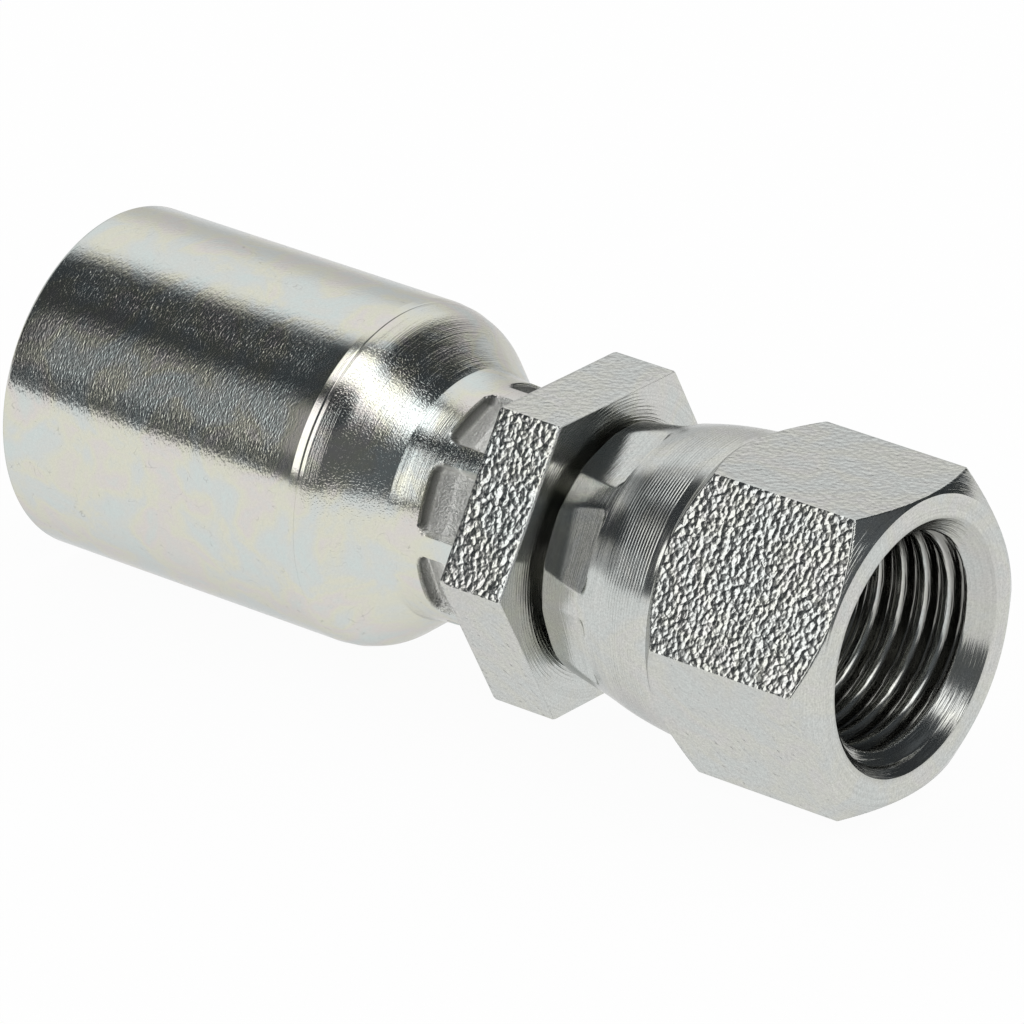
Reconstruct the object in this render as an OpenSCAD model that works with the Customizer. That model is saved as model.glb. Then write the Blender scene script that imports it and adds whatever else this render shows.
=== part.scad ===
// Crimp hose fitting: a drawn shell staked onto a barbed stem, and a swivel nut held on the stem's head.
// The axis lies along +X, +Z is up, and the origin is the centre of the shell's open end.

/* [Hexagons] */
// Size across flats of the stem's hexagon and of the nut
hex_af = 14.29; // [13.5:0.01:16]
// Angle that the stem is turned from the nut about the axis
stem_turn = 1.8; // [-30:0.1:30]

/* [Shell] */
// Outer diameter of the shell's plain body
shell_d = 16.26; // [15.8:0.01:18]
// Length of the plain body, from the open end to the shoulder
shell_body_len = 17; // [14:0.1:20]
// Length of the whole shell, up to the stem's hexagon
shell_len = 25.8; // [25:0.1:30]
// Radius of the shoulder's rounding
shoulder_r = 2.6; // [1.5:0.1:3]
// Slope of the shoulder's cone to the axis
shoulder_slope = 38; // [34:1:48]
// Outer diameter of the shell's neck
neck_d = 11.36; // [10.8:0.01:12]
// Radius of the neck's hollow sweep, in front of the crease where the shoulder ends
neck_sweep_r = 6; // [3:0.5:7]
// Slope of the neck's sweep to the axis at the crease
neck_sweep_slope = 15; // [4:1:16]
// Rounding of the open end's outer edge
lip_r = 0.25; // [0.1:0.05:0.5]

/* [Shell inside] */
// Thickness of the shell's wall at the mouth that the hose enters
shell_wall = 1.03; // [0.8:0.01:1.3]
// Length of the plain land behind the mouth
mouth_land = 3; // [2:0.1:4]
// Bevel of the mouth's inner edge
mouth_bevel = 0.3; // [0.1:0.05:0.5]
// Height of the ring teeth inside the mouth
tooth_height = 0.3; // [0.15:0.05:0.5]
// Distance from one tooth to the next
tooth_pitch = 1.8; // [1.4:0.1:2.4]
// Length of a ring tooth's steep back
tooth_back_len = 0.3; // [0.1:0.05:0.6]
// Number of ring teeth that bite the hose cover
tooth_count = 6; // [3:1:7]
// Thickness of the shell's wall under the shoulder
shoulder_wall = 1.9; // [1.2:0.1:2.2]

/* [Staking] */
// Number of stake marks around the shell's neck, and of pads around the nut's collar
stake_count = 8; // [6:1:8]
// Width of one stake mark's floor on the shell's neck
stake_w = 2.8; // [2:0.1:2.9]
// Angle by which a stake mark's side walls open outwards
stake_draft = 18; // [5:1:20]
// Length of neck that the stakes cover
stake_len = 3.2; // [2.6:0.1:3.8]
// Length of a stake mark's level floor
stake_floor_len = 1.05; // [0.6:0.05:1.6]
// Depth of a stake mark's floor below the neck
stake_depth = 0.75; // [0.3:0.05:0.9]
// Depth of the stake mark's front end below the neck
stake_front_depth = 1.3; // [1:0.05:1.4]

/* [Stem tail] */
// Diameter of the bore through the stem
bore_d = 4.3; // [3.6:0.1:4.6]
// Distance from the shell's open end to the tail's tip
tail_inset = 3.6; // [3.4:0.1:6]
// Diameter of the tail's plain tip
tail_d = 6.2; // [5.8:0.01:6.6]
// Length of the tail's plain tip
tail_plain_len = 2.8; // [2:0.1:4]
// Bevel of the tail's tip
tail_bevel = 0.3; // [0.1:0.05:0.5]
// Diameter over the barbs
barb_d = 6.9; // [6.7:0.01:7.4]
// Distance from one barb to the next
barb_pitch = 1.9; // [1.4:0.1:2.2]
// Number of barbs
barb_count = 5; // [3:1:6]
// Length of a barb's steep back
barb_back_len = 0.3; // [0.1:0.05:0.6]

/* [Stem collar] */
// Diameter of the collar behind the groove and of the neck in front of it
collar_d = 8.4; // [8:0.01:8.8]
// Length of the collar
collar_len = 1.4; // [1:0.1:1.8]
// Diameter of the groove that the staked shell grips
groove_d = 7; // [6.6:0.01:7.4]
// Length of the groove
groove_len = 2.4; // [1.6:0.1:2.6]
// Length of neck between the groove and the hexagon
groove_front_len = 0.9; // [0.6:0.1:1.4]

/* [Stem front] */
// Thickness of the stem's hexagon
stem_hex_len = 3.44; // [2.8:0.01:4.5]
// Diameter of the neck that the nut's lip turns on
swivel_neck_d = 8.6; // [8:0.01:8.8]
// Diameter of the head that the nut pulls against
head_d = 10.6; // [10.2:0.01:11]
// Length of the head's full diameter
head_len = 2.7; // [2:0.1:3.4]
// Diameter of the nose in front of the head
nose_d = 9.2; // [8.8:0.01:9.6]
// Length of the nose
nose_len = 2.6; // [2:0.1:3]
// Diameter of the sealing cone at its mouth
seat_d = 8.8; // [8.2:0.01:8.8]
// Angle of the sealing cone to the axis
seat_angle = 37; // [30:1:45]

/* [Nut] */
// Length of the whole nut
nut_len = 16.16; // [15.6:0.01:19]
// Gap between the stem's hexagon and the nut
nut_gap = 0.45; // [0.2:0.05:0.8]
// Length of the nut's hexagon from the front face to the foot of the cone behind it
nut_hex_len = 9.35; // [8.6:0.05:10]
// Largest diameter of the nut's collar, just behind the cone
collar_max_d = 14.18; // [13.6:0.01:14.2]
// Length of the collar's largest diameter
collar_level_len = 1.15; // [0.6:0.05:1.6]
// Slope of the cone behind the nut's hexagon
nut_cone_slope = 47; // [35:1:60]
// Diameter of the nut's rear rim
rim_d = 11.94; // [11.6:0.01:12.4]
// Rounding of the rear rim
rim_r = 0.25; // [0.1:0.05:0.4]
// Length of the collar's rear cone
rear_cone_len = 3.05; // [2.95:0.05:3.4]
// Diameter at the front of the collar's rear cone
rear_cone_d = 13.2; // [12.9:0.01:13.5]
// Length of the staked pads
pad_len = 2.85; // [2:0.05:2.9]
// Distance from the axis to a pad's floor at its front edge
pad_floor_r = 6.22; // [6.1:0.01:6.35]
// Slope of a pad's floor to the axis
pad_slope = 8.5; // [6:0.5:10]
// Width of one pad
pad_w = 3.9; // [3:0.1:4.1]
// Diameter of the nut's flat front face
face_d = 14.07; // [13:0.01:14.2]
// Slope of the bevel on the front of the nut's hexagon
face_slope = 32; // [25:1:45]

/* [Thread] */
// Diameter of the thread's crests
thread_minor_d = 9.84; // [9.6:0.01:10.2]
// Diameter of the countersink at the nut's front face
countersink_d = 11.88; // [11.2:0.01:12.4]
// Length of the thread from the front face
thread_len = 6.6; // [5:0.1:7]
// Diameter of the space behind the thread
relief_d = 11.5; // [11.3:0.01:11.8]
// Clearance around the stem's neck inside the nut's lip
lip_clear = 0.25; // [0.15:0.05:0.4]
// Clearance between the head's shoulder and the nut's lip along the axis
head_clear = 0.25; // [0.1:0.05:0.5]
// Length of the nut's lip along the stem's neck
lip_len = 1.9; // [1.4:0.1:2.2]

/* [Hidden] */
$fn = 96;

corner_d = hex_af / cos(30);
mouth_d = shell_d - 2 * shell_wall;
stake_first = 180 / stake_count;

// Stations along the axis, from the shell's open end
stem_hex_x0 = shell_len;
stem_hex_x1 = stem_hex_x0 + stem_hex_len;
groove_x1 = stem_hex_x0 - groove_front_len;
groove_x0 = groove_x1 - groove_len;
collar_x0 = groove_x0 - collar_len;
barb_x0 = tail_inset + tail_plain_len;
nut_x0 = stem_hex_x1 + nut_gap;
nut_x1 = nut_x0 + nut_len;
lip_x1 = nut_x0 + lip_len;
lip_d = swivel_neck_d + 2 * lip_clear;
lip_cone_x1 = lip_x1 + (relief_d - lip_d) / 2;
neck_end_x = lip_x1 + head_clear - lip_clear;
head_x0 = neck_end_x + (head_d - swivel_neck_d) / 2;
head_x1 = head_x0 + head_len;
nose_x0 = head_x1 + (head_d - nose_d) / 2;
nose_x1 = nose_x0 + nose_len;
seat_x0 = nose_x1 - (seat_d - bore_d) / 2 / tan(seat_angle);
countersink_x = nut_x1 - (countersink_d - thread_minor_d) / 2;
relief_x1 = nut_x1 - thread_len;

// The shell's shoulder: a rounding and a cone, which ends in a crease where the neck's hollow sweep begins
shoulder_x1 = shell_body_len + shoulder_r * sin(shoulder_slope);
shoulder_r1 = shell_d / 2 - shoulder_r * (1 - cos(shoulder_slope));
sweep_r0 = neck_d / 2 + neck_sweep_r * (1 - cos(neck_sweep_slope));
sweep_x0 = shoulder_x1 + (shoulder_r1 - sweep_r0) / tan(shoulder_slope);
sweep_x1 = sweep_x0 + neck_sweep_r * sin(neck_sweep_slope);
stake_x0 = stem_hex_x0 - stake_len;

// Where the plain bore turns in under the shoulder, one wall thickness inside it
bore_turn_x = shoulder_x1 - shoulder_wall * sin(shoulder_slope)
    - (mouth_d / 2 - shoulder_r1 + shoulder_wall * cos(shoulder_slope)) / tan(shoulder_slope);
bore_end_x = bore_turn_x + (mouth_d - collar_d) / 2 / tan(shoulder_slope);

// Points on a circular arc from angle a0 to angle a1
function arc(x, r, rad, a0, a1, n = 8) =
    [for (i = [0:n]) let (a = a0 + (a1 - a0) * i / n) [x + rad * cos(a), r + rad * sin(a)]];

// One ring tooth: a ramp that rises towards the closed end, then a steep back
function tooth(x, r, pitch, height, back) =
    [[x, r], [x + pitch - back, r + height], [x + pitch, r]];

// Points that swell from one radius to another and level out there
function swell(x0, r0, x1, r1, n = 8) =
    [for (i = [0:n]) [x0 + (x1 - x0) * i / n, r0 + (r1 - r0) * sin(90 * i / n)]];

// A solid of revolution about the X axis from points given as distance along the axis and radius
module turned(points) {
    rotate([0, 90, 0])
        rotate_extrude()
            polygon([for (p = points) [p[1], p[0]]]);
}

// A hexagonal bar along X with flats above and below
module hex_bar(x0, x1) {
    translate([x0, 0, 0])
        rotate([30, 0, 0])
            rotate([0, 90, 0])
                cylinder(d = corner_d, h = x1 - x0, $fn = 6);
}

// Copies of a cutter drawn above the axis, spread evenly around it
module around(count, first) {
    for (i = [0:count - 1])
        rotate([first + 360 / count * i, 0, 0])
            children();
}

// The space between a stake mark's two side walls, which open outwards from its floor
module stake_walls(floor_r, top_r) {
    foot_w = stake_w - 2 * (floor_r - groove_d / 2) * tan(stake_draft);
    top_w = stake_w + 2 * (top_r - floor_r) * tan(stake_draft);
    rotate([90, 0, 90])
        linear_extrude(stem_hex_x0 + 2)
            polygon([
                [-foot_w / 2, groove_d / 2],
                [foot_w / 2, groove_d / 2],
                [top_w / 2, top_r],
                [-top_w / 2, top_r]
            ]);
}

// The side view of one stake mark: a level floor, then a slope down to the neck's front end
module stake_side(floor_r, top_r) {
    front_r = neck_d / 2 - stake_front_depth;
    floor_x = stake_x0 + stake_floor_len;
    translate([0, corner_d / 2, 0])
        rotate([90, 0, 0])
            linear_extrude(corner_d)
                polygon([
                    [stake_x0, floor_r],
                    [floor_x, floor_r],
                    [groove_x1, front_r],
                    [groove_x1, groove_d / 2],
                    [stem_hex_x0 + 1, groove_d / 2],
                    [stem_hex_x0 + 1, top_r],
                    [stake_x0 - 0.2, top_r]
                ]);
}

module stake_cutter() {
    floor_r = neck_d / 2 - stake_depth;
    top_r = neck_d / 2 + 1;
    intersection() {
        stake_side(floor_r, top_r);
        stake_walls(floor_r, top_r);
    }
}

module shell_outer() {
    turned(concat(
        [[0, 0], [0, shell_d / 2 - lip_r]],
        arc(lip_r, shell_d / 2 - lip_r, lip_r, 180, 90, 4),
        arc(shell_body_len, shell_d / 2 - shoulder_r, shoulder_r, 90, 90 - shoulder_slope, 8),
        arc(sweep_x1, neck_d / 2 + neck_sweep_r, neck_sweep_r, 270 - neck_sweep_slope, 270, 5),
        [[stem_hex_x0, neck_d / 2], [stem_hex_x0, 0]]
    ));
}

module shell_inner() {
    teeth_x0 = mouth_bevel + mouth_land;
    turned(concat(
        [[-1, 0], [-1, mouth_d / 2 + mouth_bevel + 1]],
        [[mouth_bevel, mouth_d / 2]],
        [for (i = [0:tooth_count - 1])
            each tooth(teeth_x0 + i * tooth_pitch, mouth_d / 2, tooth_pitch, -tooth_height, tooth_back_len)],
        [[bore_turn_x, mouth_d / 2], [bore_end_x, collar_d / 2]],
        [[groove_x0, collar_d / 2], [groove_x0, groove_d / 2]],
        [[groove_x1, groove_d / 2], [groove_x1, collar_d / 2]],
        [[stem_hex_x0 + 1, collar_d / 2], [stem_hex_x0 + 1, 0]]
    ));
}

module shell() {
    color("lightgray")
        rotate([stem_turn, 0, 0])
            difference() {
                shell_outer();
                shell_inner();
                around(stake_count, stake_first) stake_cutter();
            }
}

module stem_tail() {
    turned(concat(
        [[tail_inset, 0], [tail_inset, tail_d / 2 - tail_bevel]],
        [[tail_inset + tail_bevel, tail_d / 2]],
        [for (i = [0:barb_count - 1])
            each tooth(barb_x0 + i * barb_pitch, tail_d / 2, barb_pitch,
                (barb_d - tail_d) / 2, barb_back_len)],
        [[collar_x0, tail_d / 2], [collar_x0, collar_d / 2], [groove_x0, collar_d / 2]],
        [[groove_x0, groove_d / 2], [groove_x1, groove_d / 2], [groove_x1, collar_d / 2]],
        [[stem_hex_x0 + 1, collar_d / 2], [stem_hex_x0 + 1, 0]]
    ));
}

module stem_head() {
    turned([
        [stem_hex_x1 - 1, 0],
        [stem_hex_x1 - 1, swivel_neck_d / 2],
        [neck_end_x, swivel_neck_d / 2],
        [head_x0, head_d / 2],
        [head_x1, head_d / 2],
        [nose_x0, nose_d / 2],
        [nose_x1, nose_d / 2],
        [nose_x1, 0]
    ]);
}

module stem_bore() {
    turned([
        [tail_inset - 1, 0],
        [tail_inset - 1, bore_d / 2],
        [seat_x0, bore_d / 2],
        [nose_x1 + 1, seat_d / 2 + tan(seat_angle)],
        [nose_x1 + 1, 0]
    ]);
}

module stem() {
    color("silver")
        rotate([stem_turn, 0, 0])
            difference() {
                union() {
                    stem_tail();
                    hex_bar(stem_hex_x0, stem_hex_x1);
                    stem_head();
                }
                stem_bore();
            }
}

// The nut's outside as a turned blank, which the hexagonal bar is then cut to
module nut_blank() {
    cone_x = nut_x1 - nut_hex_len;
    bevel_r = corner_d / 2 + 0.5;
    turned(concat(
        [[nut_x0, 0]],
        arc(nut_x0 + rim_r, rim_d / 2 - rim_r, rim_r, 180, 90, 4),
        swell(nut_x0 + rear_cone_len, rear_cone_d / 2, cone_x - collar_level_len, collar_max_d / 2),
        [[cone_x, collar_max_d / 2]],
        [[cone_x + (bevel_r - collar_max_d / 2) / tan(nut_cone_slope), bevel_r]],
        [[nut_x1 - (bevel_r - face_d / 2) / tan(90 - face_slope), bevel_r]],
        [[nut_x1, face_d / 2], [nut_x1, 0]]
    ));
}

// A flat pressed into the nut's collar by one die, closer to the axis at the rear
module pad_cutter() {
    back = pad_len + 1;
    front_x = nut_x0 + pad_len;
    translate([0, pad_w / 2, 0])
        rotate([90, 0, 0])
            linear_extrude(pad_w)
                polygon([
                    [front_x - back, pad_floor_r - back * tan(pad_slope)],
                    [front_x, pad_floor_r],
                    [front_x, corner_d / 2],
                    [front_x - back, corner_d / 2]
                ]);
}

module nut_bore() {
    turned([
        [nut_x0 - 1, 0],
        [nut_x0 - 1, lip_d / 2],
        [lip_x1, lip_d / 2],
        [lip_cone_x1, relief_d / 2],
        [relief_x1, relief_d / 2],
        [relief_x1 + (relief_d - thread_minor_d) / 2, thread_minor_d / 2],
        [countersink_x, thread_minor_d / 2],
        [nut_x1 + 1, countersink_d / 2 + 1],
        [nut_x1 + 1, 0]
    ]);
}

module swivel_nut() {
    color("gainsboro")
        difference() {
            intersection() {
                hex_bar(nut_x0 - 1, nut_x1 + 1);
                nut_blank();
            }
            nut_bore();
            around(stake_count, stake_first) pad_cutter();
        }
}

shell();
stem();
swivel_nut();
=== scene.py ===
import math

import bpy
import numpy as np
from bpy.props import FloatProperty, FloatVectorProperty, IntProperty, PointerProperty
from bpy.types import Operator, Panel, PropertyGroup
from mathutils import Matrix, Vector


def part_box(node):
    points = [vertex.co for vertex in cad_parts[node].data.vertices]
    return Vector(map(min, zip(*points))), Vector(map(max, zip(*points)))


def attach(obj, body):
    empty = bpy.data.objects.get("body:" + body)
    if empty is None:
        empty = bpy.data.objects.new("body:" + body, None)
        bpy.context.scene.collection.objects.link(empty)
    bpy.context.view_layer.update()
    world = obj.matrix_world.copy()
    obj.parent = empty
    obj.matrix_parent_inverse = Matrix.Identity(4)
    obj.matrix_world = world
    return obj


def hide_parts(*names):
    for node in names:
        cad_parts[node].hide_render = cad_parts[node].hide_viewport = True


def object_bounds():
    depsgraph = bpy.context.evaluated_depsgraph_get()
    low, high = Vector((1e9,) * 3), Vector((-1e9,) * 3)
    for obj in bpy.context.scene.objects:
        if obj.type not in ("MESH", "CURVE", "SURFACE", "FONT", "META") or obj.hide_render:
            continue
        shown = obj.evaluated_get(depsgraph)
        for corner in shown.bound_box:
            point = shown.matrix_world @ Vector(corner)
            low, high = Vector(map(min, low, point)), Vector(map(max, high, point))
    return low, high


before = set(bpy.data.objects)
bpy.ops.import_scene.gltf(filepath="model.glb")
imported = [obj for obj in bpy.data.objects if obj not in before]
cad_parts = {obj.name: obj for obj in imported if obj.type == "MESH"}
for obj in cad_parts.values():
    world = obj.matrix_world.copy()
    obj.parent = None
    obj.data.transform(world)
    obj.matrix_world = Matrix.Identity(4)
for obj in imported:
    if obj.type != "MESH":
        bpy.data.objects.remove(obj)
cad_low, cad_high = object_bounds()
shell_low, shell_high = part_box("shell")
stem_low, stem_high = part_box("stem")
nut_low, nut_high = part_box("swivel_nut")

bl_info = {
    "name": "Crimp hose fitting",
    "version": (1, 0, 0),
    "blender": (4, 5, 0),
    "location": "3D View > Sidebar > Fitting",
    "description": "Builds a crimp hose fitting with a swivel nut and its studio",
    "category": "Object",
}

MM = 0.001
# How much of its full brightness the plating keeps in a grazing view
GRAZING = (0.75, 0.75, 0.75, 1)


def linear(hex_colour):
    """An sRGB hex colour as linear red, green and blue."""
    srgb = np.array([int(hex_colour[i:i + 2], 16) for i in (0, 2, 4)]) / 255
    return tuple(np.where(srgb <= 0.04045, srgb / 12.92, ((srgb + 0.055) / 1.055) ** 2.4))


class ShellSizes(PropertyGroup):
    """Sizes of the shell, the drawn sleeve that is crimped onto the hose."""

    radius: FloatProperty(name="Radius", description="Outer radius of the plain body",
                          default=8.13 * MM, unit="LENGTH", precision=5)
    body_length: FloatProperty(name="Body length", description="From the open end to the shoulder",
                               default=16.85 * MM, unit="LENGTH", precision=5)
    length: FloatProperty(name="Length", description="From the open end to the stem's hexagon",
                          default=shell_high[0], unit="LENGTH", precision=5)
    crease: FloatProperty(name="Crease", description="Where the shoulder meets the neck",
                          default=20.77 * MM, unit="LENGTH", precision=5)
    turn: FloatProperty(name="Turn", description="Angle of the shell about the axis",
                        default=math.radians(1.8), unit="ROTATION")
    shoulder_slope: FloatProperty(name="Shoulder slope", description="Slope of the shoulder to the axis",
                                  default=math.radians(38), unit="ROTATION")
    neck_radius: FloatProperty(name="Neck radius", description="Outer radius of the staked neck",
                               default=5.68 * MM, unit="LENGTH", precision=5)
    mouth_radius: FloatProperty(name="Mouth radius", description="Inner radius of the open end",
                                default=7.1 * MM, unit="LENGTH", precision=5)
    stake_count: IntProperty(name="Stake marks", description="Marks pressed into the neck", default=8)
    stake_width: FloatProperty(name="Stake width", description="Width of a stake mark",
                               default=2.8 * MM, unit="LENGTH", precision=5)
    stake_depth: FloatProperty(name="Stake depth", description="Depth of a stake mark's floor",
                               default=0.75 * MM, unit="LENGTH", precision=5)


class StemSizes(PropertyGroup):
    """Sizes of the stem, which carries the hose at one end and the nut at the other."""

    across_flats: FloatProperty(name="Across flats", description="Width of the hexagon",
                                default=14.29 * MM, unit="LENGTH", precision=5)
    turn: FloatProperty(name="Turn", description="Angle of the stem about the axis",
                        default=math.radians(1.8), unit="ROTATION")
    bore_radius: FloatProperty(name="Bore radius", description="Radius of the flow bore",
                               default=2.15 * MM, unit="LENGTH", precision=5)
    hex_start: FloatProperty(name="Hexagon start", description="Where the hexagon begins",
                             default=shell_high[0], unit="LENGTH", precision=5)
    hex_length: FloatProperty(name="Hexagon length", description="Thickness of the hexagon",
                              default=3.44 * MM, unit="LENGTH", precision=5)


class NutSizes(PropertyGroup):
    """Sizes of the swivel nut and its thread."""

    across_flats: FloatProperty(name="Across flats", description="Width of the hexagon",
                                default=14.29 * MM, unit="LENGTH", precision=5)
    hex_length: FloatProperty(name="Hexagon length", description="From the front face to the foot of the cone",
                              default=9.35 * MM, unit="LENGTH", precision=5)
    pitch: FloatProperty(name="Thread pitch", description="Distance from one crest to the next",
                         default=25.4 / 20 * MM, unit="LENGTH", precision=5)
    crest_radius: FloatProperty(name="Crest radius", description="Radius of the thread's crests",
                                default=4.92 * MM, unit="LENGTH", precision=5)
    thread_depth: FloatProperty(name="Thread depth", description="Depth of the thread's roots",
                                default=0.63 * MM, unit="LENGTH", precision=5)
    pad_count: IntProperty(name="Pads", description="Flats pressed into the collar", default=8)
    pad_width: FloatProperty(name="Pad width", description="Width of a pad",
                             default=3.9 * MM, unit="LENGTH", precision=5)
    pad_length: FloatProperty(name="Pad length", description="From the rear rim to a pad's front edge",
                              default=2.85 * MM, unit="LENGTH", precision=5)
    pad_floor: FloatProperty(name="Pad floor", description="From the axis to a pad's floor at its front edge",
                             default=6.22 * MM, unit="LENGTH", precision=5)
    pad_slope: FloatProperty(name="Pad slope", description="Slope of a pad's floor to the axis",
                             default=math.radians(8.5), unit="ROTATION")


class Finishes(PropertyGroup):
    """Colours of the plating and of the studio."""

    zinc: FloatVectorProperty(name="Zinc", description="Bright zinc plating", subtype="COLOR",
                              size=3, default=linear("D1D4D0"))
    bar: FloatVectorProperty(name="Zinc on bar", description="Duller zinc plating on the hexagonal bar",
                             subtype="COLOR", size=3, default=linear("C9CBC8"))
    # Painted shade: this grey is mixed into the thread roots, the relief, the lip and the flow bore, where the
    # metal lies in shade; on the drawn shell it is also the colour of real scuffs.
    bore: FloatVectorProperty(name="Thin zinc", description="Thin dark plating down in the thread",
                              subtype="COLOR", size=3, default=linear("8A8A86"))
    # Painted shade: this dark grey is mixed into the steep step at the rear of each stake mark, where shade falls
    # in the recess.
    step: FloatVectorProperty(name="Stake step", description="Dark scuffed step round a stake mark",
                              subtype="COLOR", size=3, default=linear("5A5A58"))
    mark: FloatVectorProperty(name="Stake mark", description="Clean zinc on a stake mark's pressed floor",
                              subtype="COLOR", size=3, default=linear("EAEAE6"))
    warm: FloatVectorProperty(name="Yellow film", description="Passivate film where it turns pale yellow",
                              subtype="COLOR", size=3, default=linear("DFDAB9"))
    pink: FloatVectorProperty(name="Pink film", description="Passivate film where it turns pale pink",
                              subtype="COLOR", size=3, default=linear("DECFC9"))
    cool: FloatVectorProperty(name="Cyan film", description="Passivate film where it turns pale cyan",
                              subtype="COLOR", size=3, default=linear("C9D8D8"))
    floor: FloatVectorProperty(name="Floor", description="Pale studio floor", subtype="COLOR",
                               size=3, default=linear("F4F4F4"))


def outline(corners):
    """A closed outline in the plane of the axis and the radius, sampled for a surface of revolution.

    corners is a list of (x, r, rounding, step, zone) in millimetres. Each corner is replaced by a circular
    arc tangent to its two sides, and each straight run is cut into equal steps no longer than its step.
    Returns the arrays x, r and travel, the distance gone along the outline, and the zone of each point.
    """
    points = np.array([c[:2] for c in corners], float)
    starts, ends, arcs = [], [], []
    for i, (_, _, rounding, _, _) in enumerate(corners):
        to_last = points[i - 1] - points[i]
        to_next = points[(i + 1) % len(points)] - points[i]
        to_last /= np.hypot(*to_last)
        to_next /= np.hypot(*to_next)
        half = math.acos(float(np.clip(to_last @ to_next, -1, 1))) / 2
        if rounding <= 0 or half > math.pi / 2 - 1e-3:
            starts.append(points[i])
            ends.append(points[i])
            arcs.append(points[i][None])
            continue
        reach = rounding / math.tan(half)
        middle = (to_last + to_next) / np.hypot(*(to_last + to_next))
        centre = points[i] + middle * rounding / math.sin(half)
        first, last = points[i] + to_last * reach - centre, points[i] + to_next * reach - centre
        a0, a1 = math.atan2(first[1], first[0]), math.atan2(last[1], last[0])
        turn = (a1 - a0 + math.pi) % (2 * math.pi) - math.pi
        angles = a0 + turn * np.linspace(0, 1, max(3, int(abs(turn) / math.radians(9)) + 2))
        arcs.append(centre + rounding * np.stack([np.cos(angles), np.sin(angles)], 1))
        starts.append(arcs[-1][0])
        ends.append(arcs[-1][-1])
    path, zones = [], []
    for i, (_, _, _, step, zone) in enumerate(corners):
        run = starts[(i + 1) % len(points)] - ends[i]
        count = max(1, math.ceil(np.hypot(*run) / step))
        straight = ends[i] + run * (np.arange(1, count) / count)[:, None]
        path += [arcs[i], straight]
        zones += [zone] * (len(arcs[i]) + len(straight))
    path = np.concatenate(path)
    travel = np.concatenate([[0], np.cumsum(np.hypot(*np.diff(path, axis=0).T))])
    return path[:, 0], path[:, 1], travel, np.array(zones)


def spokes(per_flat, crowd=0.5):
    """Angles round the axis in radians, closer together near a hexagon's corners.

    Each sixth of the turn is laid out by a straight line blended with a sine, which crowds both its ends.
    """
    t = np.arange(per_flat) / per_flat * 2 - 1
    sector = math.pi / 6 * ((1 - crowd) * t + crowd * np.sin(math.pi / 2 * t))
    return np.concatenate([sector + math.pi / 2 + k * math.pi / 3 for k in range(6)])


def from_flat(angle, count, first=0.0):
    """Angle from the nearest of count evenly spaced directions, the first of them at first."""
    pitch = 2 * math.pi / count
    return (angle - first + pitch / 2) % pitch - pitch / 2


def hexagon(angle, apothem, rounding):
    """Radius of a hexagon with rounded corners: a straight side, then a small arc about each corner."""
    a = np.abs(from_flat(angle, 6, math.pi / 2))
    side_end = math.atan2((apothem - rounding) * math.tan(math.pi / 6), apothem)
    centre = (apothem - rounding) / math.cos(math.pi / 6)
    off = math.pi / 6 - a
    corner = centre * np.cos(off) + np.sqrt(np.maximum(rounding ** 2 - (centre * np.sin(off)) ** 2, 0))
    return np.where(a <= side_end, apothem / np.cos(a), corner)


def ease(t):
    """Smooth step from 0 to 1."""
    t = np.clip(t, 0, 1)
    return t * t * (3 - 2 * t)


def window(value, low, high, soft):
    """1 between low and high, falling smoothly to 0 over soft at each side."""
    return ease((value - low) / soft + 0.5) * ease((high - value) / soft + 0.5)


def inset(along, across, half_width, rounding):
    """Distance inside a long footprint: it begins at along = 0, is 2 half_width wide and has rounded corners."""
    dx, dy = rounding - along, np.abs(across) - (half_width - rounding)
    outside = np.hypot(np.maximum(dx, 0), np.maximum(dy, 0)) + np.minimum(np.maximum(dx, dy), 0)
    return rounding - outside


def softest(a, b, blend):
    """The smaller of two lengths, with the crease between them rounded over blend."""
    h = np.clip(0.5 + 0.5 * (b - a) / blend, 0, 1)
    return b * (1 - h) + a * h - blend * h * (1 - h)


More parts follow.
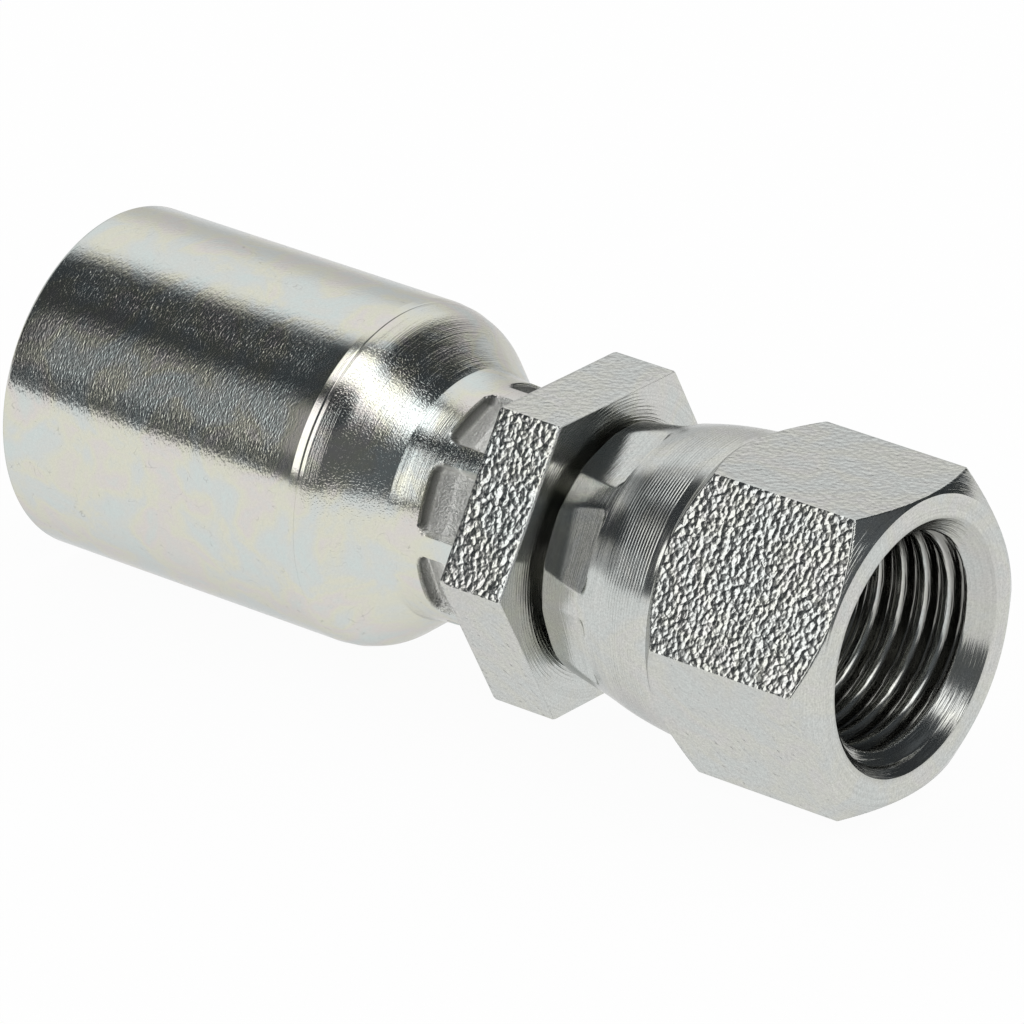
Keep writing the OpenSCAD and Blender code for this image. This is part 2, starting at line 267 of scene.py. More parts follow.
def ring_surface(name, x, radius, angle, turn, smooth_rows, attributes):
    """A closed ring mesh: point (i, j) lies at x[i, j] on the axis, radius[i, j] from it and at angle[j].

    Rows run along the outline and columns round the axis, and both directions close on themselves. Edges
    stay smooth on smooth_rows, and elsewhere those of more than 38 degrees are sharp.
    """
    rows, cols = radius.shape
    y, z = radius * np.cos(angle + turn), radius * np.sin(angle + turn)
    co = np.stack([np.broadcast_to(x, radius.shape), y, z], -1).reshape(-1, 3) * MM
    i, j = np.meshgrid(np.arange(rows), np.arange(cols), indexing="ij")
    i1, j1 = (i + 1) % rows, (j + 1) % cols
    quads = np.stack([i * cols + j, i1 * cols + j, i1 * cols + j1, i * cols + j1], -1).reshape(-1, 4)
    a, b, c = co[quads[:, 0]], co[quads[:, 1]], co[quads[:, 2]]
    d = co[quads[:, 3]]
    volume = np.einsum("ij,ij->i", a, np.cross(b, c)).sum() + np.einsum("ij,ij->i", a, np.cross(c, d)).sum()
    if volume < 0:
        quads = quads[:, ::-1]
    mesh = bpy.data.meshes.new(name)
    mesh.vertices.add(len(co))
    mesh.vertices.foreach_set("co", co.ravel())
    mesh.loops.add(quads.size)
    mesh.loops.foreach_set("vertex_index", quads.ravel().astype(np.int32))
    mesh.polygons.add(len(quads))
    mesh.polygons.foreach_set("loop_start", np.arange(0, quads.size, 4, dtype=np.int32))
    mesh.update(calc_edges=True)
    for key, values in attributes.items():
        layer = mesh.attributes.new(key, "FLOAT", "POINT")
        layer.data.foreach_set("value", np.broadcast_to(values, radius.shape).astype(np.float32).ravel())
    mesh.polygons.foreach_set("use_smooth", np.ones(len(quads), bool))
    mesh.set_sharp_from_angle(angle=math.radians(38))
    ends = np.empty(len(mesh.edges) * 2, np.int32)
    mesh.edges.foreach_get("vertices", ends)
    smooth = np.asarray(smooth_rows)[ends.reshape(-1, 2) // cols].all(1)
    marks = mesh.attributes.get("sharp_edge")
    if marks is not None:
        sharp = np.empty(len(mesh.edges), bool)
        marks.data.foreach_get("value", sharp)
        marks.data.foreach_set("value", sharp & ~smooth)
    piece = bpy.data.objects.new(name, mesh)
    bpy.context.scene.collection.objects.link(piece)
    return piece


def add(tree, kind, settings=None, ramp=(), **links):
    """Adds a node, with its settings, its ramp's (place, colour) stops and its inputs' values or sockets."""
    node = tree.nodes.new(kind)
    for key, value in (settings or {}).items():
        setattr(node, key, value)
    for k, (place, colour) in enumerate(ramp):
        stops = node.color_ramp.elements
        stop = stops[k] if k < len(stops) else stops.new(place)
        stop.position, stop.color = place, colour
    for key, value in links.items():
        key = key.replace("_", " ")
        socket = node.inputs[int(key[1:])] if key[0] == "i" and key[1:].isdigit() else node.inputs[key]
        if isinstance(value, bpy.types.NodeSocket):
            tree.links.new(value, socket)
        else:
            socket.default_value = value
    return node


def new_material(name):
    """An empty node material: (material, tree, output node)."""
    material = bpy.data.materials.new(name)
    material.use_nodes = True
    material.node_tree.nodes.clear()
    return material, material.node_tree, material.node_tree.nodes.new("ShaderNodeOutputMaterial")


def film_colour(tree, place, finishes, base, strength, sand):
    """The passivate film's colour: a grey that drifts through pale yellow, pink and cyan as the film thickens.

    strength is how far it drifts, and sand how much a fine grain lightens and darkens it.
    """
    drift = add(tree, "ShaderNodeTexNoise", Vector=place, Scale=1 / (2.8 * MM), Detail=4.0, Roughness=0.5,
                Distortion=0.4)
    tints = [(0.3, (*base, 1)), (0.37, (*finishes.cool, 1)), (0.45, (*base, 1)), (0.53, (*finishes.warm, 1)),
             (0.6, (*finishes.pink, 1)), (0.67, (*base, 1)), (0.75, (*finishes.cool, 1))]
    ramp = add(tree, "ShaderNodeValToRGB", ramp=tints, Fac=drift.outputs["Fac"])
    mix = add(tree, "ShaderNodeMix", {"data_type": "RGBA"}, Factor=strength, i6=(*base, 1),
              i7=ramp.outputs["Color"])
    grain = add(tree, "ShaderNodeTexNoise", Vector=place, Scale=1 / (0.09 * MM), Detail=2.0, Roughness=0.6)
    level = add(tree, "ShaderNodeMapRange", Value=grain.outputs["Fac"], From_Min=0.25, From_Max=0.75,
                To_Min=1 - sand, To_Max=1 + sand)
    return add(tree, "ShaderNodeVectorMath", {"operation": "SCALE"}, i0=mix.outputs[2],
               Scale=level.outputs["Result"]).outputs[0]


def tool_path(tree, along, across):
    """Object coordinates with the axis swapped for the travel along the turned outline.

    along and across are the pattern's sizes in millimetres, along the outline and round the axis.
    """
    place = add(tree, "ShaderNodeTexCoord").outputs["Object"]
    split = add(tree, "ShaderNodeSeparateXYZ", Vector=place)
    travel = add(tree, "ShaderNodeAttribute", {"attribute_name": "travel"}).outputs["Fac"]
    fine = add(tree, "ShaderNodeMath", {"operation": "MULTIPLY"}, i0=travel, i1=1 / (along * MM))
    y = add(tree, "ShaderNodeMath", {"operation": "MULTIPLY"}, i0=split.outputs["Y"], i1=1 / (across * MM))
    z = add(tree, "ShaderNodeMath", {"operation": "MULTIPLY"}, i0=split.outputs["Z"], i1=1 / (across * MM))
    return place, add(tree, "ShaderNodeCombineXYZ", X=fine.outputs[0], Y=y.outputs[0],
                      Z=z.outputs[0]).outputs[0]


def drawn_zinc(finishes):
    """Drawn steel tube, bright zinc plated with an iridescent passivate.

    The eye gets a pale mirror broken into short fine streaks that run round the tube, left by turning and
    tumbling, with faint yellow, pink and cyan clouds in the film. The stake marks are matt and grey.
    """
    material, tree, out = new_material("zinc_plated_drawn_tube")
    place, streak_path = tool_path(tree, 0.09, 0.22)
    streaks = add(tree, "ShaderNodeTexNoise", Vector=streak_path, Scale=1.0, Detail=1.5, Roughness=0.6,
                  Distortion=0.3)
    _, fine_path = tool_path(tree, 0.06, 7.0)
    rings = add(tree, "ShaderNodeTexNoise", Vector=fine_path, Scale=1.0, Detail=2.0, Roughness=0.65)
    drawn = add(tree, "ShaderNodeTexNoise", Vector=place, Scale=1 / (0.6 * MM), Detail=1.0, Roughness=0.5)
    specks = add(tree, "ShaderNodeTexNoise", Vector=place, Scale=1 / (0.09 * MM), Detail=1.0, Roughness=0.5)
    dents = add(tree, "ShaderNodeTexNoise", Vector=place, Scale=1 / (0.13 * MM), Detail=2.0, Roughness=0.6)
    tumbled, turned, staked, wall = (add(tree, "ShaderNodeAttribute", {"attribute_name": key}).outputs["Fac"]
                                     for key in ("tumbled", "turned", "staked", "wall"))
    streak_bump = add(tree, "ShaderNodeBump", Strength=tumbled, Distance=0.012 * MM,
                      Height=streaks.outputs["Fac"])
    ring_bump = add(tree, "ShaderNodeBump", Strength=turned, Distance=0.014 * MM,
                    Height=rings.outputs["Fac"], Normal=streak_bump.outputs["Normal"])
    pits = add(tree, "ShaderNodeMapRange", {"interpolation_type": "SMOOTHSTEP"}, Value=specks.outputs["Fac"],
               From_Min=0.48, From_Max=0.72)
    speck_bump = add(tree, "ShaderNodeBump", Strength=turned, Distance=0.0035 * MM,
                     Height=pits.outputs["Result"], Normal=ring_bump.outputs["Normal"])
    dent_bump = add(tree, "ShaderNodeBump", Strength=staked, Distance=0.08 * MM,
                    Height=dents.outputs["Fac"], Normal=speck_bump.outputs["Normal"])
    rough = add(tree, "ShaderNodeMapRange", Value=staked, To_Min=0.14, To_Max=0.42)
    colour = film_colour(tree, place, finishes, finishes.zinc, 0.4, 0.04)
    dull = film_colour(tree, place, finishes, finishes.mark, 0.0, 0.15)
    scuffs = add(tree, "ShaderNodeTexNoise", Vector=place, Scale=1 / (1.3 * MM), Detail=2.0, Roughness=0.5,
                 Distortion=1.0)
    apart = add(tree, "ShaderNodeMath", {"operation": "COMPARE"}, i0=scuffs.outputs["Fac"], i1=0.56, i2=0.004)
    spread = add(tree, "ShaderNodeMapRange", Value=drawn.outputs["Fac"], From_Min=0.5, From_Max=0.62, To_Max=0.3)
    worn = add(tree, "ShaderNodeMath", {"operation": "MULTIPLY"}, i0=apart.outputs[0],
               i1=spread.outputs["Result"])
    scuffed = add(tree, "ShaderNodeMix", {"data_type": "RGBA"}, Factor=worn.outputs[0], i6=colour,
                  i7=(*finishes.bore, 1))
    matt = add(tree, "ShaderNodeMix", {"data_type": "RGBA"}, Factor=staked, i6=scuffed.outputs[2], i7=dull)
    # Painted shade: the steep step at the rear of each stake mark is darkened towards the step grey.
    dark = add(tree, "ShaderNodeMix", {"data_type": "RGBA"}, Factor=wall, i6=matt.outputs[2],
               i7=(*finishes.step, 1))
    shader = add(tree, "ShaderNodeBsdfPrincipled", Base_Color=dark.outputs[2], Metallic=1.0,
                 Specular_Tint=GRAZING, Roughness=rough.outputs["Result"], Normal=dent_bump.outputs["Normal"])
    tree.links.new(shader.outputs[0], out.inputs["Surface"])
    return material


def turned_zinc(finishes):
    """Hexagonal steel bar, turned and zinc plated.

    The flats keep the drawn bar's coarse crinkled skin, which flickers between dark and bright. The turned
    parts show the rings of the tool's feed, and painted shade darkens the colour down in the thread and the bores.
    """
    material, tree, out = new_material("zinc_plated_hexagon_bar")
    place, ring_path = tool_path(tree, 0.08, 7.0)
    _, streak_path = tool_path(tree, 0.06, 1.0)
    rings = add(tree, "ShaderNodeTexNoise", Vector=ring_path, Scale=1.0, Detail=2.0, Roughness=0.65)
    streaks = add(tree, "ShaderNodeTexNoise", Vector=streak_path, Scale=1.0, Detail=1.0, Roughness=0.5)
    flat, feed, bore, chatter = (add(tree, "ShaderNodeAttribute", {"attribute_name": key}).outputs["Fac"]
                                 for key in ("flat", "feed", "bore", "chatter"))
    lathe = add(tree, "ShaderNodeMath", {"operation": "SUBTRACT"}, i0=1.0, i1=flat)
    skin = add(tree, "ShaderNodeTexNoise", Vector=place, Scale=1 / (0.25 * MM), Detail=0.6,
               Roughness=0.5, Distortion=0.3)
    blobs = add(tree, "ShaderNodeTexVoronoi", {"feature": "SMOOTH_F1"}, Vector=place,
                Scale=1 / (0.28 * MM), Smoothness=0.25)
    round_top = add(tree, "ShaderNodeMath", {"operation": "POWER"}, i0=blobs.outputs["Distance"], i1=1.6)
    crinkle = add(tree, "ShaderNodeMath", {"operation": "MULTIPLY_ADD"}, i0=round_top.outputs[0], i1=-0.8,
                  i2=skin.outputs["Fac"])
    travel = add(tree, "ShaderNodeAttribute", {"attribute_name": "travel"}).outputs["Fac"]
    turns = add(tree, "ShaderNodeMath", {"operation": "DIVIDE"}, i0=travel, i1=0.08 * MM)
    sway = add(tree, "ShaderNodeMath", {"operation": "PINGPONG"}, i0=turns.outputs[0], i1=1.0)
    scallop = add(tree, "ShaderNodeMath", {"operation": "POWER"}, i0=sway.outputs[0], i1=3.0)
    feed_bump = add(tree, "ShaderNodeBump", Strength=feed, Distance=0.011 * MM, Height=scallop.outputs[0])
    ring_bump = add(tree, "ShaderNodeBump", Strength=chatter, Distance=0.014 * MM,
                    Height=rings.outputs["Fac"], Normal=feed_bump.outputs["Normal"])
    streak_bump = add(tree, "ShaderNodeBump", Strength=chatter, Distance=0.014 * MM,
                      Height=streaks.outputs["Fac"], Normal=ring_bump.outputs["Normal"])
    skin_bump = add(tree, "ShaderNodeBump", Strength=flat, Distance=0.039 * MM,
                    Height=crinkle.outputs[0], Normal=streak_bump.outputs["Normal"])
    colour = film_colour(tree, place, finishes, finishes.bar, 0.14, 0.17)
    # Painted shade: the colour darkens towards the bore grey in the thread roots, the relief, the lip and the flow
    # bore.
    painted_bore_shade = add(tree, "ShaderNodeMix", {"data_type": "RGBA"}, Factor=bore, i6=colour, i7=(*finishes.bore, 1))
    lines = add(tree, "ShaderNodeMapRange", Value=rings.outputs["Fac"], From_Min=0.3, From_Max=0.6,
                To_Min=0.89, To_Max=1.02)
    level = add(tree, "ShaderNodeMix", {"data_type": "FLOAT"}, Factor=lathe.outputs[0], i2=1.0,
                i3=lines.outputs["Result"])
    ringed = add(tree, "ShaderNodeVectorMath", {"operation": "SCALE"}, i0=painted_bore_shade.outputs[2],
                 Scale=level.outputs[0])
    shader = add(tree, "ShaderNodeBsdfPrincipled", Base_Color=ringed.outputs[0], Metallic=1.0,
                 Specular_Tint=GRAZING, Roughness=0.17, Normal=skin_bump.outputs["Normal"])
    tree.links.new(shader.outputs[0], out.inputs["Surface"])
    return material


def finish_piece(piece, body, node, material):
    """Gives a piece its material, hangs it from its body's empty and hides the CAD node that it stands for."""
    piece.data.materials.append(material)
    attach(piece, body)
    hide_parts(node)


class FITTING_OT_shell(Operator):
    """Builds the shell: a drawn sleeve with a domed shoulder and a neck staked all round"""

    bl_idname = "fitting.shell"
    bl_label = "Shell"

    def execute(self, context):
        sizes, finishes = context.scene.fitting_shell, context.scene.fitting_finishes
        r0, neck, mouth = (v / MM for v in (sizes.radius, sizes.neck_radius, sizes.mouth_radius))
        body, end = sizes.body_length / MM, sizes.length / MM
        fall = math.tan(sizes.shoulder_slope)
        ring_x, ring_r = body + 0.62, r0 - 0.072
        groove_x, groove_r = ring_x - 0.19, ring_r + 0.022
        crease_x, crease_r = sizes.crease / MM, neck + 0.204
        # The dome leaves the ring at 17 degrees and rounds over into the shoulder's cone
        gentle = math.tan(math.radians(17))
        dome_x = (crease_r + fall * crease_x - ring_r - gentle * ring_x) / (fall - gentle)
        dome_r = ring_r - gentle * (dome_x - ring_x)
        teeth = []
        for k in range(6):
            tooth_x = 14.1 - 1.8 * k
            teeth += [(tooth_x, mouth, 0.03, 0.8, "inside"), (tooth_x - 0.3, mouth - 0.3, 0.04, 0.8, "inside")]
        corners = [
            (0, r0, 0.25, 1.6, "body"),
            (body, r0, 0.04, 0.1, "dome"),
            (groove_x - 0.03, groove_r, 0, 0.1, "dome"),
            (groove_x, groove_r - 0.025, 0, 0.1, "dome"),
            (groove_x + 0.03, groove_r - 0.005, 0, 0.1, "dome"),
            (ring_x, ring_r, 0.05, 0.14, "dome"),
            (dome_x, dome_r, 2.0, 0.14, "dome"),
            (crease_x, crease_r, 0.05, 0.07, "neck"),
            (crease_x + 0.78, neck, 6.0, 0.086, "neck"),
            (end, neck, 0.06, 0.4, "front"),
            (end, 4.2, 0, 0.5, "hidden"),
            (24.9, 4.2, 0, 0.5, "hidden"),
            (24.9, 3.5, 0, 0.5, "hidden"),
            (22.5, 3.5, 0, 0.5, "hidden"),
            (22.5, 4.2, 0, 0.8, "inside"),
            (18.5, 4.2, 0.3, 0.6, "inside"),
            (15.0, mouth, 0.3, 0.6, "inside"),
            *teeth,
            (3.3, mouth, 0, 0.8, "inside"),
            (0.3, mouth, 0.02, 0.3, "inside"),
            (0, mouth + 0.3, 0.02, 0.2, "front"),
        ]
        x, r, travel, zone = outline(corners)
        angle = np.arange(352) / 352 * 2 * math.pi
        x, r, travel, zone = (v[:, None] for v in (x, r, travel, zone))
        off = from_flat(angle, sizes.stake_count, math.pi / sizes.stake_count)[None]
        outside = np.isin(zone, ("body", "dome", "neck", "front"))
        # The stake marks: a steep rear wall, a floor that rises to a ridge, and a slope down to the hexagon
        low = neck - sizes.stake_depth / MM + 0.03
        ridge = 23.72 + 0.06 * np.sin(9 * angle[None] + 0.5) + 0.03 * np.sin(31 * angle[None])
        floor = low + np.clip(x - 22.6, 0, ridge - 22.6) * 0.2 - np.maximum(x - ridge, 0) * 0.55
        inside = inset(x - 22.42, off * 5.4, sizes.stake_width / MM / 2 + 0.24, 0.55)
        # The cut stops short of the core, and the rows of the front face close up evenly under it
        core = 4.2
        face = (zone == "front") & (x > body)
        rim = np.where(face, neck, r)
        cut = np.maximum(rim - floor / np.cos(off), 0) * ease(inside / 0.22) * outside
        cut = np.minimum(cut, np.maximum(rim - core - 0.04, 0)) * np.where(face, (r - core) / (neck - core), 1)
        radius = r - cut
        turned = ease((x - body) / 0.02) * (0.25 + 0.75 * ease((x - ring_x) / 0.05)) * outside
        piece = ring_surface("shell_drawn", x, radius, angle, sizes.turn, np.zeros(len(x), bool), {
            "travel": travel * MM, "turned": turned, "tumbled": ease((body - x) / 0.02) * outside,
            "staked": ease(inside / 0.12) * outside,
            # Painted shade on the steep step at the rear of each stake mark.
            "wall": 0.9 * window(inside, 0.02, 0.17, 0.1) * window(x, 0, 22.8, 0.3) * outside})
        finish_piece(piece, "fitting", "shell", drawn_zinc(finishes))
        return {"FINISHED"}


class FITTING_OT_stem(Operator):
    """Builds the stem: a barbed tail, a hexagon, and a head with a sealing cone"""

    bl_idname = "fitting.stem"
    bl_label = "Stem"

    def execute(self, context):
        sizes, finishes = context.scene.fitting_stem, context.scene.fitting_finishes
        start = sizes.hex_start / MM
        end = start + sizes.hex_length / MM
        bore = sizes.bore_radius / MM
        corner = sizes.across_flats / MM / math.sqrt(3)
        barbs = []
        for k in range(5):
            x0 = 6.4 + 1.9 * k
            barbs += [(x0, 3.1, 0, 0.6, "tail"), (x0 + 1.6, 3.45, 0.03, 0.4, "tail")]
        corners = [
            (3.6, bore, 0.05, 0.4, "tail"),
            (3.6, 2.8, 0, 0.3, "tail"),
            (3.9, 3.1, 0.05, 0.6, "tail"),
            *barbs,
            (15.9, 3.1, 0, 1.0, "tail"),
            (21.1, 3.1, 0, 0.6, "tail"),
            (21.1, 4.2, 0, 0.6, "tail"),
            (22.5, 4.2, 0, 0.6, "tail"),
            (22.5, 3.5, 0, 0.6, "tail"),
            (24.9, 3.5, 0, 0.6, "tail"),
            (24.9, 4.2, 0, 0.2, "tail"),
            (start, 4.2, 0, 0.25, "rear"),
            (start, corner, 0, 0.12, "hex"),
            (end, corner, 0, 0.2, "face"),
            (end, 4.3, 0.1, 0.3, "neck"),
            (31.59, 4.3, 0.1, 0.3, "neck"),
            (32.59, 5.3, 0.1, 0.5, "head"),
            (35.29, 5.3, 0.08, 0.3, "head"),
            (35.99, 4.6, 0.05, 0.5, "head"),
            (38.59, 4.6, 0.06, 0.1, "head"),
            (38.59, 4.4, 0.02, 0.25, "seat"),
            (35.6, bore, 0.05, 2.0, "bore"),
        ]
        x, r, travel, zone = outline(corners)
        angle = spokes(54)
        x, r, travel, zone = (v[:, None] for v in (x, r, travel, zone))
        hexed = hexagon(angle, sizes.across_flats / MM / 2, 0.12)[None]
        # The hexagon's two faces are ruled from their inner circle out to its edge, less a small rounding
        edge = 0.045
        inset = edge * (np.maximum(0, 1 - (x - start) / edge) ** 2 + np.maximum(0, 1 - (end - x) / edge) ** 2)
        share = np.clip((r - 4.25) / (corner - 4.25), 0, 1)
        on_face = (zone == "rear") | (zone == "face")
        ruled = 4.25 + share * (hexed - edge - 4.25)
        radius = np.where(on_face, ruled, np.where(zone == "hex", hexed - inset, r))
        flat = np.where(zone == "hex", 1.0, 0.0) * window(x, start, end, 0.3)
        travel = np.where(on_face, radius, travel)
        # Painted shade: the flow bore's colour is darkened through the bore mask.
        piece = ring_surface("stem_turned", x, radius, angle, sizes.turn, np.zeros(len(x), bool), {
            "travel": travel * MM, "flat": flat, "feed": 0.5 * (zone == "face"), "bore": 1.0 * (zone == "bore"),
            "chatter": 0.25 * (1 - flat) + 0.3 * (zone == "face")})
        finish_piece(piece, "fitting", "stem", turned_zinc(finishes))
        return {"FINISHED"}


class FITTING_OT_nut(Operator):
    """Builds the swivel nut: a hexagon, a staked collar and a right-handed thread"""

    bl_idname = "fitting.nut"
    bl_label = "Swivel nut"

    def execute(self, context):
        sizes, finishes = context.scene.fitting_nut, context.scene.fitting_finishes
        rear, front = nut_low[0] / MM, nut_high[0] / MM
        crest, depth, pitch = (v / MM for v in (sizes.crest_radius, sizes.thread_depth, sizes.pitch))
        cone_x = front - sizes.hex_length / MM
        top = 8.4
        slope = math.tan(math.radians(47))
        swell_x, swell_r = rear + 3.05, 6.6
        swelling = [(swell_x + k * 0.27, swell_r + 0.81 * (1 - math.exp(-0.094 * k)), 0, 0.11, "collar")
                    for k in range(13)]
        corners = [
            (rear, 5.97, 0.25, 0.09, "collar"),
            *swelling,
            (cone_x, 7.18, 0.12, 0.055, "cone"),
            (cone_x + (top - 7.18) / slope, top, 0, 1.0, "bar"),
            (front - (top - 7.035) * math.tan(math.radians(32)), top, 0, 0.05, "bevel"),
            (front, 7.035, 0.06, 0.16, "face"),
            (front, 5.94, 0.05, 0.1, "countersink"),
            (front - 1.02, crest, 0, 0.058, "thread"),
            (front - 6.6, crest, 0, 0.12, "runout"),
            (front - 6.6 - 0.83, 5.75, 0, 1.2, "relief"),
            (33.0, 5.75, 0.3, 0.3, "relief"),
            (31.6, 4.55, 0.1, 0.6, "lip"),
            (rear, 4.55, 0.15, 0.25, "rim"),
        ]
        x, r, travel, zone = outline(corners)
        angle = spokes(48)
        x, r, travel, zone = (v[:, None] for v in (x, r, travel, zone))
        hexed = hexagon(angle, sizes.across_flats / MM / 2, 0.12)[None]
        bar = np.isin(zone, ("cone", "bar", "bevel"))
        radius = np.where(bar, softest(r, hexed, 0.05), r)
        # The pads: tilted flats pressed into the collar, each with a step at its front edge
        off = from_flat(angle, sizes.pad_count, math.pi / sizes.pad_count)[None]
        pad_end = rear + sizes.pad_length / MM
        floor = sizes.pad_floor / MM - (pad_end - x) * math.tan(sizes.pad_slope)
        inside = inset(pad_end - x, off * 6.3, sizes.pad_width / MM / 2 + 0.1, 0.5)
        collar = zone == "collar"
        side = sizes.pad_width / MM / 2 - np.abs(off) * 6.3
        pressed = ease(inside / 0.14) * ease(side / 0.5 + 0.4) * collar
        radius = radius - np.maximum(r - floor / np.cos(off), 0) * pressed
        # The thread: a crest flat, two 30 degree flanks and a root, following a right-handed helix
        phase = (x / pitch - angle[None] / (2 * math.pi)) % 1
        flank = (np.abs(phase - 0.5) - 0.13) * pitch * math.sqrt(3)
        groove = -softest(-softest(flank, depth, 0.12), 0, 0.24)
        inner = np.isin(zone, ("countersink", "thread", "runout"))
        radius = np.where(inner, -softest(-r, -(crest + groove), 0.05), radius)
        flat = np.where(bar, ease((r - hexed) / 0.12), 0.0)
        feed = collar * ease((x - 33.2) / 1.3) * (x < 36) * (1 - pressed) + 0.3 * (zone == "face")
        # Painted shade: the colour darkens in the relief and the lip behind the thread, a little in the
        # countersink, and more the deeper a point lies in a thread root.
        down = np.isin(zone, ("relief", "lip")) + 0.25 * (zone == "countersink")
        down = down + np.isin(zone, ("thread", "runout")) * (0.1 + 0.9 * ease((groove - 0.06) / 0.12))
        chatter = np.where(np.isin(zone, ("countersink", "thread", "bevel")), 0.9, 0.25) + 0.25 * (zone == "face")
        chatter = chatter * (1 - flat)
        travel = np.where(np.isin(zone, ("thread", "runout")), phase * pitch, travel)
        piece = ring_surface("swivel_nut_turned", x, radius, angle, 0.0, inner[:, 0], {
            "travel": travel * MM, "flat": flat, "feed": feed, "bore": down, "chatter": chatter})
        finish_piece(piece, "nut", "swivel_nut", turned_zinc(finishes))
        return {"FINISHED"}


def card(tree, axes, ranges, soft, strength):
    """A soft-edged panel of light in the sky, bounded by ranges of the direction's x, y and z."""
    level = strength
    for axis, (low, high) in zip(axes, ranges):
        for edge, sign in ((low, 1), (high, -1)):
            if edge is None:
                continue
            step = add(tree, "ShaderNodeMapRange", {"interpolation_type": "SMOOTHSTEP"}, Value=axis,
                       From_Min=edge - soft * sign, From_Max=edge + soft * sign)
            level = add(tree, "ShaderNodeMath", {"operation": "MULTIPLY"}, i0=level,
                        i1=step.outputs["Result"]).outputs[0]
    return level


def studio_sky(world):
    """White to the camera; to the metal, a pale tent behind the part, a dark room in front, two soft boxes."""
    world.use_nodes = True
    tree = world.node_tree
    tree.nodes.clear()
    place = add(tree, "ShaderNodeTexCoord").outputs["Generated"]
    split = add(tree, "ShaderNodeSeparateXYZ", Vector=place)
    axes = [split.outputs[k] for k in "XYZ"]
    panels = [
        # The tent behind, brighter higher up, which reaches forward on the left
        card(tree, axes, ((None, 0.07), (0.14, None), (None, None)), 0.1, 0.74),
        card(tree, axes, ((None, 0.07), (0.2, None), (0.42, None)), 0.1, 0.22),
        card(tree, axes, ((None, -0.84), (-0.2, 0.1), (0.05, None)), 0.05, 0.68),
        # The soft box overhead and the one in front on the left
        card(tree, axes, ((-0.42, 0.85), (-0.37, 0.0), (0.5, None)), 0.06, 2.0),
        card(tree, axes, ((-0.46, -0.16), (None, -0.45), (0.12, 0.73)), 0.03, 1.6),
        # The room in front, grey on the left, with a paler wall low down beyond it
        card(tree, axes, ((-0.6, None), (None, 0.02), (None, 0.62)), 0.06, 0.09),
        card(tree, axes, ((-0.6, -0.42), (None, -0.1), (0.24, 0.62)), 0.05, 0.23),
        card(tree, axes, ((None, -0.75), (None, -0.42), (-0.1, 0.27)), 0.03, 0.45),
        card(tree, axes, ((0.6, None), (0.0, 0.6), (None, 0.6)), 0.1, 0.07),
    ]
    total = 0.045
    for panel in panels:
        total = add(tree, "ShaderNodeMath", {"operation": "ADD"}, i0=total, i1=panel).outputs[0]
    rays = add(tree, "ShaderNodeLightPath")
    glossy = add(tree, "ShaderNodeMix", {"data_type": "FLOAT"}, Factor=rays.outputs["Is Glossy Ray"],
                 i2=0.95, i3=total)
    level = add(tree, "ShaderNodeMix", {"data_type": "FLOAT"}, Factor=rays.outputs["Is Camera Ray"],
                i2=glossy.outputs[0], i3=1.0)
    bright = add(tree, "ShaderNodeMath", {"operation": "MULTIPLY", "use_clamp": True}, i0=level.outputs[0], i1=4.0)
    hue = add(tree, "ShaderNodeMix", {"data_type": "RGBA"}, Factor=bright.outputs[0], i6=(0.84, 0.97, 1.1, 1),
              i7=(1, 1, 1, 1))
    sky = add(tree, "ShaderNodeBackground", Color=hue.outputs[2], Strength=level.outputs[0])
    out = tree.nodes.new("ShaderNodeOutputWorld")
    tree.links.new(sky.outputs[0], out.inputs["Surface"])


def floor_material(finishes):
    """White studio floor: mostly its own white to the camera and the metal, so that it keeps a soft shadow."""
    material, tree, out = new_material("matt_white_floor")
    matt = add(tree, "ShaderNodeBsdfDiffuse", Color=(*finishes.floor, 1))
    glow = add(tree, "ShaderNodeEmission", Color=(1, 1, 1, 1), Strength=1.0)
    rays = add(tree, "ShaderNodeLightPath")
    seen = add(tree, "ShaderNodeMath", {"operation": "MAXIMUM"}, i0=rays.outputs["Is Camera Ray"],
               i1=rays.outputs["Is Glossy Ray"])
    share = add(tree, "ShaderNodeMath", {"operation": "MULTIPLY"}, i0=seen.outputs[0], i1=0.95)
    mix = add(tree, "ShaderNodeMixShader", Fac=share.outputs[0], i1=matt.outputs[0], i2=glow.outputs[0])
    tree.links.new(mix.outputs[0], out.inputs["Surface"])
    return material


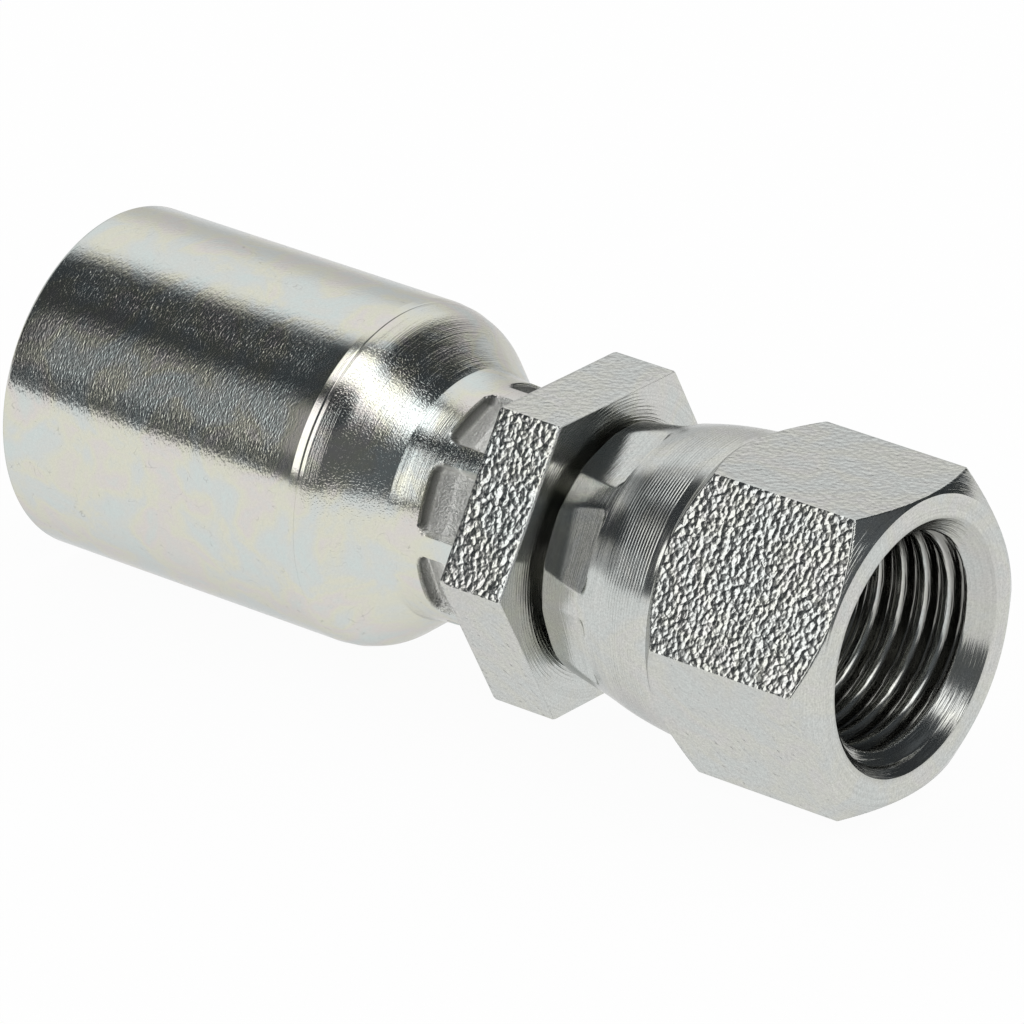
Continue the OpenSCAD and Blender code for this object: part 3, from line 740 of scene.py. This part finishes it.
class FITTING_OT_stage(Operator):
    """Builds the pale floor, the soft studio light and the camera"""

    bl_idname = "fitting.stage"
    bl_label = "Studio"

    def execute(self, context):
        scene = context.scene
        low = cad_low[2]
        reach = 0.9
        mesh = bpy.data.meshes.new("studio_floor")
        mesh.from_pydata([(sx * reach, sy * reach, low) for sx, sy in ((-1, -1), (1, -1), (1, 1), (-1, 1))],
                         [], [(0, 1, 2, 3)])
        floor = bpy.data.objects.new("studio_floor", mesh)
        floor.data.materials.append(floor_material(scene.fitting_finishes))
        scene.collection.objects.link(floor)
        if scene.world is None:
            scene.world = bpy.data.worlds.new("studio")
        studio_sky(scene.world)
        azimuth, elevation, roll = (math.radians(v) for v in (37.352, 22.751, -2.507))
        aim = Vector((23.911, -0.683, 0.282)) * MM
        back = Vector((math.sin(azimuth) * math.cos(elevation), -math.cos(azimuth) * math.cos(elevation),
                       math.sin(elevation)))
        camera = bpy.data.objects.new("photo_camera", bpy.data.cameras.new("photo_camera"))
        camera.data.sensor_width = 36
        camera.data.lens = 329.5
        camera.data.clip_start, camera.data.clip_end = 0.01, 20
        camera.rotation_mode = "QUATERNION"
        level = back.to_track_quat("Z", "Y")
        camera.rotation_quaternion = level @ Matrix.Rotation(-roll, 4, "Z").to_quaternion()
        camera.location = aim + back * 420.3 * MM
        scene.collection.objects.link(camera)
        scene.camera = camera
        scene.view_settings.view_transform = "Standard"
        return {"FINISHED"}


class FITTING_PT_pieces(Panel):
    """Lists the operators that build the fitting"""

    bl_label = "Crimp hose fitting"
    bl_idname = "FITTING_PT_pieces"
    bl_space_type = "VIEW_3D"
    bl_region_type = "UI"
    bl_category = "Fitting"

    def draw(self, context):
        for operator in OPERATORS:
            self.layout.operator(operator.bl_idname)


GROUPS = {"fitting_shell": ShellSizes, "fitting_stem": StemSizes, "fitting_nut": NutSizes,
          "fitting_finishes": Finishes}
OPERATORS = (FITTING_OT_shell, FITTING_OT_stem, FITTING_OT_nut, FITTING_OT_stage)


def register():
    for group in GROUPS.values():
        bpy.utils.register_class(group)
    for operator in OPERATORS:
        bpy.utils.register_class(operator)
    bpy.utils.register_class(FITTING_PT_pieces)
    for name, group in GROUPS.items():
        setattr(bpy.types.Scene, name, PointerProperty(type=group))


def unregister():
    for name in GROUPS:
        delattr(bpy.types.Scene, name)
    bpy.utils.unregister_class(FITTING_PT_pieces)
    for operator in reversed(OPERATORS):
        bpy.utils.unregister_class(operator)
    for group in reversed(list(GROUPS.values())):
        bpy.utils.unregister_class(group)


def main():
    """Registers the classes and builds every piece in order."""
    register()
    bpy.ops.fitting.shell()
    bpy.ops.fitting.stem()
    bpy.ops.fitting.nut()
    bpy.ops.fitting.stage()


if __name__ == "__main__":
    main()
